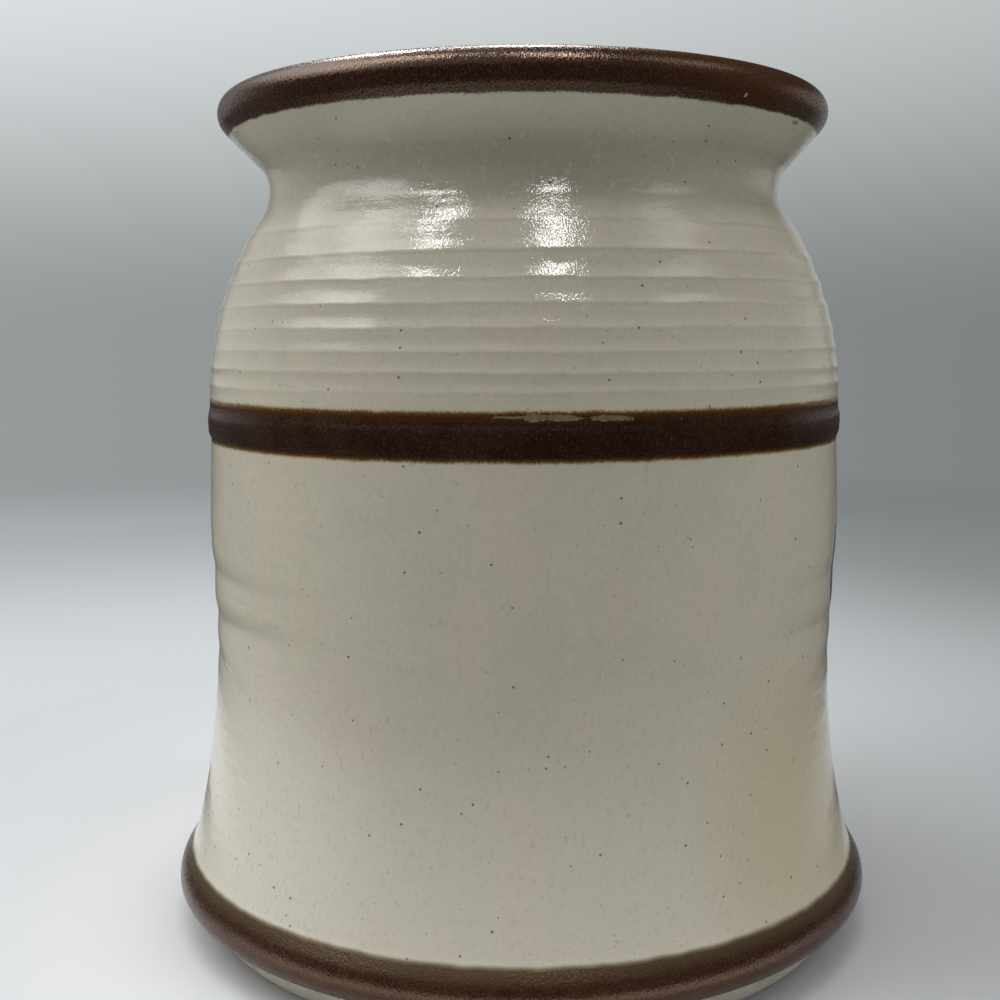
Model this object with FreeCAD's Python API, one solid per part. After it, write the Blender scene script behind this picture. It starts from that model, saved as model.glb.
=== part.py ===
import FreeCAD, Part
import math
import os

# A thrown stoneware utensil crock: one clay vessel and the coats of glaze and brushwork that it carries.
# Millimetres, +Z up, origin on the table under the middle of the foot. The front looks along -Y.

# Heights, stacked from the table up
foot_height = 6.0  # bare clay under the foot bead
bead_height = 9.9  # brown half-round bead
flare_height = 38.1  # belly from the bead up to the waist
upper_belly_height = 53.4  # waist up to the shoulder band
band_height = 8.6  # brown band
shoulder_height = 44.9  # band up to the narrowest part of the neck
collar_height = 19.1  # neck up to the top of the lip
rim_coat_height = 8.5  # brown rim coat, measured down from the top of the lip

# Radii of the glazed outside, each set out from the one before it
waist_radius = 69.9
flare_spread = 5.5  # the belly's foot stands out from the waist by this
bead_standout = 3.1  # the bead's crown stands out from the belly's foot by this
foot_inset = 4.0  # the table edge of the foot lies in from the belly's foot by this
belly_bulge = 0.5  # the upper belly swells past a straight wall by this
shoulder_radius = 69.5
neck_inset = 13.6  # the neck lies in from the shoulder by this
lip_overhang = 10.3  # the lip stands out from the neck by this

# Curves of the neck and lip
neck_lower_curve = 11.4
neck_upper_curve = 6.0
lip_roll = 4.2
collar_room = 0.85  # share of the collar that its two curves may fill

# Throwing rings on the shoulder, counted from the band up
ring_count = 8
first_ring_pitch = 3.3
ring_pitch_growth = 0.28
ring_hollow = 0.3  # each ring hollows in between its two ridges by this

# Clay
wall_thickness = 6.0
floor_thickness = 7.5
floor_corner = 9.0
base_hollow_depth = 1.5
base_hollow_draft = 2.0
foot_ring_width = 9.0

# Coats
glaze_thickness = 0.5
band_edge = 0.35  # the band's edges stand out from the cream glaze by this
band_crown = 0.6  # the middle of the band stands out by this
brush_thickness = 0.2

# Lifting dents, where two hands took the wet pot off the wheel
dent_rise = 10.5  # height of the dents' middle above the waist
dent_height = 34.0
dent_flat = 3.0  # a dent's curve round the wall is larger than the wall by this
dent_overrun = 1.5  # the body that presses a dent is taller than the dent by this factor
left_dent_depth = 1.2
right_dent_depth = 0.6

# Blue vine brushed round the right side and the back, angles in degrees from the front towards +X
vine_start_angle = 88.0
vine_step_angle = 29.0
vine_half_waves = 6
vine_lift = 5.0  # the vine's line lies above the middle of the belly by this
vine_wave = 7.0
stem_width = 2.2
stem_gap = 1.5
leaf_length = 25.0
leaf_width = 11.0
leaf_lean = 9.0
leaf_gap = 2.0
end_leaf_angle = 77.0
end_leaf_rise = 16.0  # the end leaf's middle lies above the middle of the belly by this
end_leaf_length = 34.0
end_leaf_width = 20.0
end_leaf_lean = 4.0
berry_radius = 2.2
berry_pitch = 6.5
berries_per_wave = 3

# Levels that the heights give
bead_top = foot_height + bead_height
waist_level = bead_top + flare_height
band_bottom = waist_level + upper_belly_height
band_top = band_bottom + band_height
neck_level = band_top + shoulder_height
top_level = neck_level + collar_height
rim_edge = top_level - rim_coat_height
floor_level = base_hollow_depth + floor_thickness
belly_middle = (bead_top + band_bottom) / 2
dent_level = waist_level + dent_rise

# Radii that the steps give
root_radius = waist_radius + flare_spread
bead_radius = root_radius + bead_standout
foot_radius = root_radius - foot_inset
neck_radius = shoulder_radius - neck_inset
lip_radius = neck_radius + lip_overhang
widest_radius = max(bead_radius, lip_radius, shoulder_radius + band_crown)
tool_reach = 2 * widest_radius  # cutting bodies reach well clear of the pot

# Curves that the sizes give: each arc is upright where it meets the waist, the band and the neck
flare_curve = (flare_height**2 + flare_spread**2) / (2 * flare_spread)
bead_curve = ((bead_height / 2) ** 2 + bead_standout**2) / (2 * bead_standout)
shoulder_curve = (shoulder_height**2 + neck_inset**2) / (2 * neck_inset) - neck_lower_curve
lip_reach = collar_height - lip_roll
neck_throat_curve = min(neck_upper_curve, collar_room * lip_reach - lip_roll)

# Centres of those curves as (radius, level)
flare_centre = (waist_radius + flare_curve, waist_level)
shoulder_centre = (shoulder_radius - shoulder_curve, band_top)
neck_lower_centre = (neck_radius + neck_lower_curve, neck_level)
neck_upper_centre = (neck_radius + neck_throat_curve, neck_level)
lip_centre = (lip_radius - lip_roll, top_level - lip_roll)


def at(radius, level):
    """A point of the half section, which is drawn on the front, in the plane x = 0."""
    return FreeCAD.Vector(0, -radius, level)


def line(start, end):
    return Part.LineSegment(start, end).toShape()


def arc(start, middle, end):
    return Part.Arc(start, middle, end).toShape()


def around(centre, radius, angle):
    """A point on a circle of the half section, with its angle in radians above the outward direction."""
    return at(centre[0] + radius * math.cos(angle), centre[1] + radius * math.sin(angle))


def sweep(centre, radius, first, last):
    """An arc of the half section between two angles about its centre."""
    middle = (first + last) / 2
    points = [around(centre, radius, angle) for angle in (first, middle, last)]
    return arc(*points)


def joined(edges):
    """Edges in order, with a straight edge wherever one ends away from the start of the next."""
    chain = []
    for edge in edges:
        if chain:
            gap_start = chain[-1].lastVertex(True).Point
            gap_end = edge.firstVertex(True).Point
            if gap_start.distanceToPoint(gap_end) > 1e-6:
                chain.append(line(gap_start, gap_end))
        chain.append(edge)
    return chain


def spun(edges):
    """The solid that a closed outline of the half section makes when it turns about the axis."""
    chain = joined(edges)
    closing = line(chain[-1].lastVertex(True).Point, chain[0].firstVertex(True).Point)
    outline = Part.Wire(chain + [closing])
    return Part.Face(outline).revolve(FreeCAD.Vector(0, 0, 0), FreeCAD.Vector(0, 0, 1), 360)


def zone(shape, low, high):
    """The part of a shape that lies between two levels."""
    slab = Part.makeCylinder(tool_reach, high - low, FreeCAD.Vector(0, 0, low))
    return shape.common(slab)


def flare_radius(level, depth):
    """Radius of the flared belly at a level, at a depth under the glaze."""
    return flare_centre[0] - math.sqrt((flare_curve + depth) ** 2 - (waist_level - level) ** 2)


def belly_radius(level):
    """Radius of the belly's glaze at a level, close to its arcs."""
    if level < waist_level:
        return flare_radius(level, 0)
    share = (level - waist_level) / upper_belly_height
    return waist_radius + share * (shoulder_radius - waist_radius) + belly_bulge * 4 * share * (1 - share)


def belly_edges(depth):
    """The belly from the waist to the top of the band, at a depth under the glaze."""
    middle_level = (waist_level + band_bottom) / 2
    swell = arc(
        at(waist_radius - depth, waist_level),
        at(belly_radius(middle_level) - depth, middle_level),
        at(shoulder_radius - depth, band_bottom),
    )
    seat = line(at(shoulder_radius - depth, band_bottom), at(shoulder_radius - depth, band_top))
    return [swell, seat]


def neck_turn():
    """Angle at which the shoulder's arc passes into the arc of the neck."""
    across = neck_lower_centre[0] - shoulder_centre[0]
    return math.atan2(shoulder_height, across)


def collar_lean(curve_sum):
    """Angle of a collar line off upright, for the sum of the two curves that it touches."""
    across = lip_centre[0] - neck_upper_centre[0]
    distance = math.hypot(across, lip_reach)
    return math.atan2(across, lip_reach) + math.asin(curve_sum / distance)


def ring_edges(depth):
    """The shoulder: a hollow arc for each throwing ring, then a plain arc up to the neck."""
    radius = shoulder_curve - depth
    edges = []
    low = 0.0
    level = 0.0
    for number in range(ring_count):
        level = level + first_ring_pitch + number * ring_pitch_growth
        high = math.asin(min(level / shoulder_curve, 1.0))
        if high > neck_turn():
            break
        groove = around(shoulder_centre, radius - ring_hollow, (low + high) / 2)
        edges.append(arc(around(shoulder_centre, radius, low), groove, around(shoulder_centre, radius, high)))
        low = high
    edges.append(sweep(shoulder_centre, radius, low, neck_turn()))
    return edges


def filled_pot(depth):
    """The pot as if it were solid, at a depth under the glaze. The bare foot is the same at every depth."""
    lean = collar_lean(neck_throat_curve + lip_roll)
    foot = line(at(foot_radius, 0), at(root_radius - bead_standout / 2, foot_height))
    flare = arc(
        at(flare_radius(bead_top, depth), bead_top),
        at(flare_radius((bead_top + waist_level) / 2, depth), (bead_top + waist_level) / 2),
        at(waist_radius - depth, waist_level),
    )
    neck_lower = sweep(neck_lower_centre, neck_lower_curve + depth, math.pi + neck_turn(), math.pi)
    neck_upper = sweep(neck_upper_centre, neck_throat_curve + depth, math.pi, math.pi - lean)
    lip = sweep(lip_centre, lip_roll - depth, -lean, math.pi / 2)
    floor = line(at(0, 0), at(foot_radius, 0))
    lid = line(at(lip_centre[0], top_level - depth), at(0, top_level - depth))
    edges = [floor, foot, flare] + belly_edges(depth) + ring_edges(depth) + [neck_lower, neck_upper, lip, lid]
    bead_centre = FreeCAD.Vector(0, 0, foot_height + bead_height / 2)
    bead = Part.makeTorus(bead_radius - bead_curve, bead_curve - depth, bead_centre)
    pot = spun(edges).fuse(zone(bead, foot_height, bead_top))
    pot = pot.cut(dent(1, right_dent_depth, depth))
    return pot.cut(dent(-1, left_dent_depth, depth))


def dent(side, dent_depth, depth):
    """The body that presses a dent into one side: a ring set off the pot's axis, bowed in along the wall."""
    half_height = dent_height / 2
    wall_rise = belly_radius(dent_level + half_height) - belly_radius(dent_level - half_height)
    middle_radius = belly_radius(dent_level) + dent_flat - depth
    face = []
    for share in (-dent_overrun, 0, dent_overrun):
        radius = middle_radius + share * wall_rise / 2 + share**2 * dent_depth
        face.append(at(radius, dent_level + share * half_height))
    back = line(at(tool_reach, face[2].z), at(tool_reach, face[0].z))
    ring = spun([arc(*face), back])
    ring.translate(FreeCAD.Vector(-side * (dent_flat + dent_depth), 0, 0))
    return ring


def cavity(depth):
    """The space inside, grown by a depth from the liner's face into the wall, and open at the top."""
    inward = wall_thickness - depth
    lean = collar_lean(neck_throat_curve + wall_thickness - lip_roll)
    corner_top = floor_level + floor_corner
    corner_middle = flare_radius(corner_top, wall_thickness) - floor_corner
    corner_reach = floor_corner + depth
    floor = line(at(0, floor_level - depth), at(corner_middle, floor_level - depth))
    corner = arc(
        at(corner_middle, floor_level - depth),
        around((corner_middle, corner_top), corner_reach, -math.pi / 4),
        at(flare_radius(corner_top, inward), corner_top),
    )
    flare = arc(
        at(flare_radius(corner_top, inward), corner_top),
        at(flare_radius((corner_top + waist_level) / 2, inward), (corner_top + waist_level) / 2),
        at(waist_radius - inward, waist_level),
    )
    shoulder = sweep(shoulder_centre, shoulder_curve - inward, 0, neck_turn())
    neck_lower = sweep(neck_lower_centre, neck_lower_curve + inward, math.pi + neck_turn(), math.pi)
    neck_upper = sweep(neck_upper_centre, neck_throat_curve + inward, math.pi, math.pi - lean)
    lip = sweep(lip_centre, lip_roll - depth, math.pi - lean, math.pi / 2)
    mouth = line(at(lip_centre[0], top_level + lip_roll), at(0, top_level + lip_roll))
    return spun([floor, corner, flare] + belly_edges(inward) + [shoulder, neck_lower, neck_upper, lip, mouth])


def base_hollow():
    """The shallow hollow that leaves the crock standing on a ring."""
    rim = foot_radius - foot_ring_width
    return Part.makeCone(rim, rim - base_hollow_draft, base_hollow_depth)


def band_ring():
    """A ring through the wall behind the band, with the band's crowned face."""
    middle = (band_bottom + band_top) / 2
    edge_radius = shoulder_radius + band_edge
    crown = at(shoulder_radius + band_crown, middle)
    face = arc(at(edge_radius, band_bottom), crown, at(edge_radius, band_top))
    inner_radius = shoulder_radius - wall_thickness
    back = line(at(inner_radius, band_top), at(inner_radius, band_bottom))
    return spun([face, back])


def brush_mark(angle, start, end, first_swell, second_swell):
    """Everything behind one pointed brush mark. Its ends are (across, level), seen square on at an angle."""
    across = end[0] - start[0]
    rise = end[1] - start[1]
    length = math.hypot(across, rise)
    middle = ((start[0] + end[0]) / 2, (start[1] + end[1]) / 2)
    sideways = (-rise / length, across / length)

    def spot(point):
        return FreeCAD.Vector(point[0], 0, point[1])

    def side(swell):
        return spot((middle[0] + sideways[0] * swell, middle[1] + sideways[1] * swell))

    outline = Part.Wire([arc(spot(start), side(first_swell), spot(end)),
                         arc(spot(end), side(second_swell), spot(start))])
    mark = Part.Face(outline).extrude(FreeCAD.Vector(0, -tool_reach, 0))
    mark.rotate(FreeCAD.Vector(0, 0, 0), FreeCAD.Vector(0, 0, 1), angle)
    return mark


def vine_marks():
    """The stems, leaves and berries of the vine, as everything behind each mark."""
    vine_level = belly_middle + vine_lift
    half_span = waist_radius * math.sin(math.radians(vine_step_angle / 2)) - stem_gap / 2
    stems = []
    leaves = []
    berries = []
    for number in range(vine_half_waves):
        way = 1 if number % 2 == 0 else -1
        angle = vine_start_angle + (number + 0.5) * vine_step_angle
        crest = way * vine_wave
        stems.append(brush_mark(angle, (-half_span, vine_level), (half_span, vine_level),
                                crest + stem_width / 2, crest - stem_width / 2))
        leaf_foot = vine_level + crest + way * (stem_width / 2 + leaf_gap)
        leaves.append(brush_mark(angle, (-leaf_lean / 2, leaf_foot),
                                 (leaf_lean / 2, leaf_foot + way * leaf_length),
                                 leaf_width / 2, -leaf_width / 2))
        for berry in range(berries_per_wave):
            across = (berry - (berries_per_wave - 1) / 2) * berry_pitch
            drop = vine_wave + berry_radius + stem_gap + abs(across) / 2
            seat = FreeCAD.Vector(across, 0, vine_level + crest - way * drop)
            disc = Part.makeCylinder(berry_radius, tool_reach, seat, FreeCAD.Vector(0, -1, 0))
            disc.rotate(FreeCAD.Vector(0, 0, 0), FreeCAD.Vector(0, 0, 1), angle)
            berries.append(disc)
    end_level = belly_middle + end_leaf_rise
    leaves.append(brush_mark(end_leaf_angle, (end_leaf_lean / 2, end_level - end_leaf_length / 2),
                             (-end_leaf_lean / 2, end_level + end_leaf_length / 2),
                             end_leaf_width / 2, -end_leaf_width / 2))
    return stems, leaves, berries


def export(name, shape):
    """Write one sub-part, and print what it holds."""
    solids = shape.Solids
    piece = solids[0] if len(solids) == 1 else Part.makeCompound(solids)
    piece.exportStep(os.path.join("parts", name + ".step"))
    print(name, "solids", len(solids), "valid", piece.isValid(), "volume", round(piece.Volume, 1))


os.makedirs("parts", exist_ok=True)

glazed_pot = filled_pot(0)
clay_pot = filled_pot(glaze_thickness)
painted_pot = filled_pot(-brush_thickness)
liner_space = cavity(0)
clay_space = cavity(glaze_thickness)


def outside_coat(low, high):
    """The glaze on the outside between two levels."""
    return zone(glazed_pot, low, high).cut(zone(clay_pot, low, high))


clay_body = clay_pot.cut(clay_space).cut(base_hollow())
rim_clay = zone(clay_body, rim_edge, top_level)
export("clay_body", clay_body)
export("shoulder_glaze", outside_coat(band_top, rim_edge))
export("belly_glaze", outside_coat(bead_top, band_bottom))
export("foot_bead_glaze", outside_coat(foot_height, bead_top))
export("shoulder_band_glaze", band_ring().cut(clay_pot))
export("liner_glaze", zone(clay_space, 0, rim_edge).cut(zone(liner_space, 0, rim_edge)))
export("rim_glaze", zone(glazed_pot, rim_edge, top_level).cut(liner_space).cut(rim_clay))

paint = zone(painted_pot, bead_top, band_bottom).cut(zone(glazed_pot, bead_top, band_bottom))
stem_marks, leaf_marks, berry_marks = vine_marks()
export("blue_stem_strokes", paint.common(stem_marks))
export("blue_leaf_strokes", paint.common(leaf_marks))
export("blue_berry_strokes", paint.common(berry_marks))
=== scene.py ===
# %% [markdown]
# # A thrown stoneware crock for kitchen utensils
# The crock is one fired clay vessel under several coats: cream glaze outside and inside, brown iron glaze
# on the lip, the shoulder band and the foot bead, and blue brushwork on the belly. The packed model says
# how large each of them is and where it sits. This lesson builds the surfaces that hands, a wheel and a
# kiln leave behind, so it starts by loading that model as a frame that stays fixed.

# %% Load the packed crock
import math

import bmesh
import bpy
import numpy as np
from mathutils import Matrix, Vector


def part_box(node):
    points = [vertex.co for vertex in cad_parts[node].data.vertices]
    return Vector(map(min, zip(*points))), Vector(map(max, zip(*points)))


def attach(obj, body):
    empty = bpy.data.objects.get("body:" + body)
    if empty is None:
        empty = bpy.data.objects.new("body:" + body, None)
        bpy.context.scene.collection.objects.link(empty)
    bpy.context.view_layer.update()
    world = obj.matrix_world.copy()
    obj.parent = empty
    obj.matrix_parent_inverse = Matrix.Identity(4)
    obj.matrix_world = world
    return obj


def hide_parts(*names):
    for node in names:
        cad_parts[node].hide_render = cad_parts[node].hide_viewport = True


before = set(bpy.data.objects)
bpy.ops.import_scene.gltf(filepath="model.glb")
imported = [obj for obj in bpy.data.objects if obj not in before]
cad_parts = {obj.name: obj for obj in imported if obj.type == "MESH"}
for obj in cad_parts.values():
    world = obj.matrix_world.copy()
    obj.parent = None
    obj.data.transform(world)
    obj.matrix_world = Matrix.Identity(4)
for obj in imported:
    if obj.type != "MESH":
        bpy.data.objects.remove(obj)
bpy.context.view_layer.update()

print("Nodes in the frame:", ", ".join(sorted(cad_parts)))

# %% [markdown]
# ## Sizes
# Every coat has a node of its own in the frame, so the levels where one coat ends and the next begins are
# read from there, and the coats can't drift away from the solids. A few radii and curves lie inside a
# node's box, where the box doesn't show them, and these are written out as the potter's own measures.

# %% Levels from the frame, and the measures between them
mm = 0.001
foot_edge, bead_top = [corner.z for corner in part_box("foot_bead_glaze")]
band_bottom, band_top = [corner.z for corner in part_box("shoulder_band_glaze")]
rim_edge, top_level = [corner.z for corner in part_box("rim_glaze")]
bead_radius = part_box("foot_bead_glaze")[1].x
lip_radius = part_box("rim_glaze")[1].x
foot_radius = 71.4 * mm
root_radius = 75.4 * mm
waist_level = 54.0 * mm
waist_radius = 69.9 * mm
belly_swell = 0.5 * mm
shoulder_radius = 69.5 * mm
neck_level = 160.9 * mm
neck_radius = 55.9 * mm
neck_lower_curve = 11.4 * mm
neck_upper_curve = 6.0 * mm
lip_roll = 4.2 * mm
wall = 6.0 * mm
coat = 0.5 * mm
print("Brown band from", round(band_bottom / mm, 1), "to", round(band_top / mm, 1), "mm above the table")

# %% [markdown]
# ## The section of the pot
# A wheel-thrown pot is a turned shape, so everything starts from half of its section: a line of points,
# each a radius and a level. A Screw modifier could turn a drawn curve, but then every ring and dent would
# have to come from a modifier too. Plain arrays of points are easier to bend, so the section is worked out
# in numpy: arcs where the potter's ribs and fingers left arcs, and short formulas for the foot and belly.

# %% Helpers for the section
arc_points = 160


def ease(values, low, high):
    """0 below low, 1 above high and a smooth change between, as a shader's smoothstep gives."""
    share = np.clip((values - low) / (high - low), 0, 1)
    return share**2 * (3 - 2 * share)


def arc(centre, radius, first, last):
    """Points on an arc of the section. Angles are in radians above the outward direction."""
    turn = np.linspace(first, last, arc_points)
    return np.column_stack([centre[0] + radius * np.cos(turn), centre[1] + radius * np.sin(turn)])


def evenly(points, step):
    """The same line with its points evenly spaced, no more than a step apart."""
    run = np.concatenate([[0], np.cumsum(np.hypot(*np.diff(points, axis=0).T))])
    places = np.linspace(0, run[-1], math.ceil(run[-1] / step) + 1)
    return np.column_stack([np.interp(places, run, column) for column in points.T])


quarter = evenly(arc((0, 0), 1, 0, math.pi / 2), 0.01)
print("A quarter circle of radius 1 takes", len(quarter) - 1, "steps of up to 0.01")

# %% [markdown]
# ## Foot, bead and belly
# The foot leans out from the table. Over it the bead falls in a long slope to a low crown and curls in
# tightly underneath, and the belly flares down into it. Three simple radii meet here, and a real coat of
# glaze never leaves a knife-sharp corner between them, so where two of them cross, the corner is filled as
# a fillet would fill it.

# %% Radius of the outside from the table to the band
crown_share = 0.36
bead_crown = foot_edge + crown_share * (bead_top - foot_edge)
bead_standout = bead_radius - root_radius
foot_spread = 2.45 * mm
foot_lean = foot_spread / foot_edge
bead_undercut = bead_radius - foot_radius - foot_lean * foot_edge
foot_fillet = 0.5 * mm
cove_fillet = 1.2 * mm
least_fillet = 1e-9


def filled_corner(first, second, fillet):
    """The larger of two radii, with the corner where they cross filled."""
    near = np.clip(1 - np.abs(first - second) / np.maximum(fillet, least_fillet), 0, None)
    return np.maximum(first, second) + near**2 * fillet / 4


def belly_line(level):
    """Radius of the belly: a flare below the waist, a slight swell above it."""
    flare_height = waist_level - bead_top
    spread = root_radius - waist_radius
    curve = (flare_height**2 + spread**2) / (2 * spread)
    below = np.clip(waist_level - level, 0, curve)
    share = np.clip((level - waist_level) / (band_bottom - waist_level), 0, 1)
    swell = share * (shoulder_radius - waist_radius) + belly_swell * 4 * share * (1 - share)
    return waist_radius + curve - np.sqrt(curve**2 - below**2) + swell


def bead_line(level):
    """Radius of the foot bead: a long slope above its crown and a tight curl under it."""
    above = bead_standout * ((level - bead_crown) / (bead_top - bead_crown)) ** 2
    drop = np.clip((bead_crown - level) / (bead_crown - foot_edge), 0, 1)
    below = bead_undercut * (1 - np.sqrt(1 - drop**2))
    return bead_radius - np.where(level > bead_crown, above, below)


def lower_outside(level):
    """Radius of the foot, bead and belly together."""
    bead = bead_line(level)
    cove = cove_fillet * ease(level, bead_crown, bead_top)
    above = filled_corner(bead, belly_line(level), cove)
    foot = foot_radius + foot_lean * level
    below = np.where(level > foot_edge, filled_corner(bead, foot, foot_fillet), foot)
    return np.where(level > bead_crown, above, below)


crown_radius = float(lower_outside(np.array(bead_crown)))
print("Bead crown", round(bead_crown / mm, 1), "mm up at radius", round(crown_radius / mm, 2), "mm")

# %% [markdown]
# ## Shoulder, neck and lip
# Above the band the wall closes in over one large arc, turns at the neck and leans out to a rolled lip.
# The inside follows the outside, one wall thickness in. The straight stretch of the collar has to touch
# the neck's arc and the lip's roll without a kink, and its lean follows from those two circles.

# %% Circles of the shoulder, neck and lip
shoulder_height = neck_level - band_top
neck_inset = shoulder_radius - neck_radius
shoulder_curve = (shoulder_height**2 + neck_inset**2) / (2 * neck_inset) - neck_lower_curve
shoulder_centre = (shoulder_radius - shoulder_curve, band_top)
neck_lower_centre = (neck_radius + neck_lower_curve, neck_level)
neck_upper_centre = (neck_radius + neck_upper_curve, neck_level)
lip_centre = (lip_radius - lip_roll, top_level - lip_roll)
neck_turn = math.atan2(shoulder_height, neck_lower_centre[0] - shoulder_centre[0])


def collar_lean(curve_sum):
    """Lean of a collar line off upright, for the sum of the two curves that it touches."""
    across = lip_centre[0] - neck_upper_centre[0]
    reach = lip_centre[1] - neck_level
    return math.atan2(across, reach) + math.asin(curve_sum / math.hypot(across, reach))


outer_lean = collar_lean(neck_upper_curve + lip_roll)
inner_lean = collar_lean(neck_upper_curve + wall - lip_roll)
print("The collar leans out by", round(math.degrees(outer_lean), 1), "degrees")

# %% [markdown]
# ## From the base, over the lip, to the floor inside
# The section runs in one go from the middle of the base, round the foot, up the outside, over the lip and
# down the inside to the middle of the floor. It is cut into stretches where one coat ends and the next
# begins. A drawn curve could hold it, but here every line follows from the sizes above.

# %% Lines of the section
upright_points = 600
base_hollow = 1.5 * mm
hollow_slope = 2.0 * mm
foot_ring = 9.0 * mm
foot_round = 0.7 * mm
floor_thickness = 7.5 * mm
floor_corner = 9.0 * mm
ring_inside = foot_radius - foot_ring
floor_level = base_hollow + floor_thickness
corner_top = floor_level + floor_corner
corner_middle = float(belly_line(corner_top)) - wall - floor_corner


def upright(low, high, radius_at):
    """Points between two levels, closely spaced, for a radius that is a formula of the level."""
    level = np.linspace(low, high, upright_points)
    return np.column_stack([radius_at(level), level])


foot_line = np.vstack([
    [(0, base_hollow), (ring_inside - hollow_slope, base_hollow), (ring_inside, 0)],
    arc((foot_radius - foot_round, foot_round), foot_round, -math.pi / 2, 0),
    upright(foot_round, foot_edge, lower_outside),
])
closing = np.vstack([
    arc(shoulder_centre, shoulder_curve, 0, neck_turn),
    arc(neck_lower_centre, neck_lower_curve, math.pi + neck_turn, math.pi),
    arc(neck_upper_centre, neck_upper_curve, math.pi, math.pi - outer_lean),
    arc(lip_centre, lip_roll, -outer_lean, math.pi / 2),
])
opening = np.vstack([
    arc(lip_centre, lip_roll, math.pi / 2, math.pi - inner_lean),
    arc(neck_upper_centre, neck_upper_curve + wall, math.pi - inner_lean, math.pi),
    arc(neck_lower_centre, neck_lower_curve + wall, math.pi, math.pi + neck_turn),
    arc(shoulder_centre, shoulder_curve - wall, neck_turn, 0),
    upright(band_top, corner_top, belly_line) - (wall, 0),
    arc((corner_middle, corner_top), floor_corner, 0, -math.pi / 2),
    [(0, floor_level)],
])
print("Mouth of radius", round(opening[:, 0][opening[:, 1] > neck_level].min() / mm, 1), "mm at the neck")

# %% [markdown]
# The brown edge of the rim falls partway along two of these lines, so a helper cuts a line where it passes
# a level. A stretch with fine relief gets rows close together, and a calm one gets fewer.

# %% Cut the lines into stretches
# Distance from row to row in millimetres
row_steps = {"foot": 0.5, "bead": 0.3, "belly": 0.55, "band": 0.18, "shoulder": 0.3, "rim": 0.3, "liner": 1.1}


def split(points, level):
    """A line cut in two where it first passes a level."""
    side = np.sign(points[:, 1] - level)
    last = int(np.argmax(side[1:] != side[:-1]))
    share = (level - points[last, 1]) / (points[last + 1, 1] - points[last, 1])
    cut = points[last] + share * (points[last + 1] - points[last])
    return np.vstack([points[:last + 1], cut]), np.vstack([cut, points[last + 1:]])


shoulder_line, lip_outside = split(closing, rim_edge)
lip_inside, liner_line = split(opening, rim_edge)
lines = {
    "foot": foot_line,
    "bead": upright(foot_edge, bead_top, lower_outside),
    "belly": upright(bead_top, band_bottom, lower_outside),
    "band": upright(band_bottom, band_top, belly_line),
    "shoulder": shoulder_line,
    "rim": np.vstack([lip_outside, lip_inside]),
    "liner": liner_line,
}
stretches = {name: evenly(line, row_steps[name] * mm) for name, line in lines.items()}
for name, line in stretches.items():
    print(name, "has", len(line), "points from", (line[0] / mm).round(1), "to", (line[-1] / mm).round(1))

# %% [markdown]
# One array joins the stretches, and neighbours share the point where they meet. Its normals are worked out
# once for the whole section, so two coats that meet are pushed the same way there and no gap opens.

# %% Join the stretches into one section
section = np.vstack([stretches["foot"]] + [line[1:] for name, line in stretches.items() if name != "foot"])
ends = np.cumsum([len(line) - 1 for line in stretches.values()])
spans = {name: (end - len(stretches[name]) + 1, end) for name, end in zip(stretches, ends)}
run = np.gradient(section, axis=0)
run = run / np.linalg.norm(run, axis=1, keepdims=True)
normals = np.column_stack([run[:, 1], -run[:, 0]])
columns = 360
theta = np.linspace(0, 2 * math.pi, columns, endpoint=False)
print("Section of", len(section), "points, turned in", columns, "columns")

# %% [markdown]
# ## Throwing rings
# The shoulder keeps the rings that the potter's fingers left. Each one is a shallow hollow between two
# ridges: dark at its top, where it faces down, and paler towards the ridge below, where it faces up.
# A bump map would shade this but leave the outline smooth, so the rings are real relief. Two ridges are
# crisp, the rest are worn soft, and each wanders a little on its way round, because no hand is steady.

# %% Relief of the throwing rings
first_pitch = 3.3 * mm
pitch_growth = 0.28 * mm
ridge_rise = 0.10 * mm
ring_wander = 0.16 * mm
fine_waves = ((9, 0.35), (17, 0.30), (29, 0.24), (47, 0.20), (71, 0.14))
ring_depths = np.array([0.12, 0.17, 0.18, 0.20, 0.24, 0.31, 0.28, 0.13, 0.05]) * mm
ridge_crispness = [0.2, 0.5, 0.5, 0.55, 0.7, 1.0, 1.0, 0.8, 0.3]
rings_begin = 1.5 * mm
rings_end = (150 * mm, 155 * mm)


def ring_edge(number, angle):
    """Level of a ring's lower ridge round the pot. The waves are shifted so that no two ridges run alike."""
    level = band_top + first_pitch * number + pitch_growth / 2 * number * (number - 1)
    wander = np.sin(angle + 1.7 * number) + 0.6 * np.sin(2 * angle + 0.9 * number)
    for waves, share in fine_waves:
        wander = wander + share * np.sin(waves * angle + waves * 1.3 * number)
    return level + ring_wander * wander * min(number, 1)


def throwing_rings(level, angle):
    """Height of the rings above and below the plain shoulder."""
    height = np.zeros(np.broadcast(level, angle).shape)
    for number, (depth, crisp) in enumerate(zip(ring_depths, ridge_crispness)):
        low = ring_edge(number, angle)
        share = (level - low) / (ring_edge(number + 1, angle) - low)
        steady = 1 + 0.22 * np.sin(2 * angle + 2.3 * number) + 0.14 * np.sin(5 * angle + number)
        hollow = np.clip(1 - (2 * share - 1) ** 2, 0, 1)
        hollow = crisp * hollow + (1 - crisp) * hollow**2
        height = height + np.where((share >= 0) & (share < 1), ridge_rise - depth * steady * hollow, 0)
    return height * ease(level, band_top, band_top + rings_begin) * (1 - ease(level, *rings_end))


ridges = [round(float(ring_edge(number, 0)) / mm, 1) for number in range(len(ring_depths) + 1)]
print("Ridges at the front, mm:", ridges)
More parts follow.
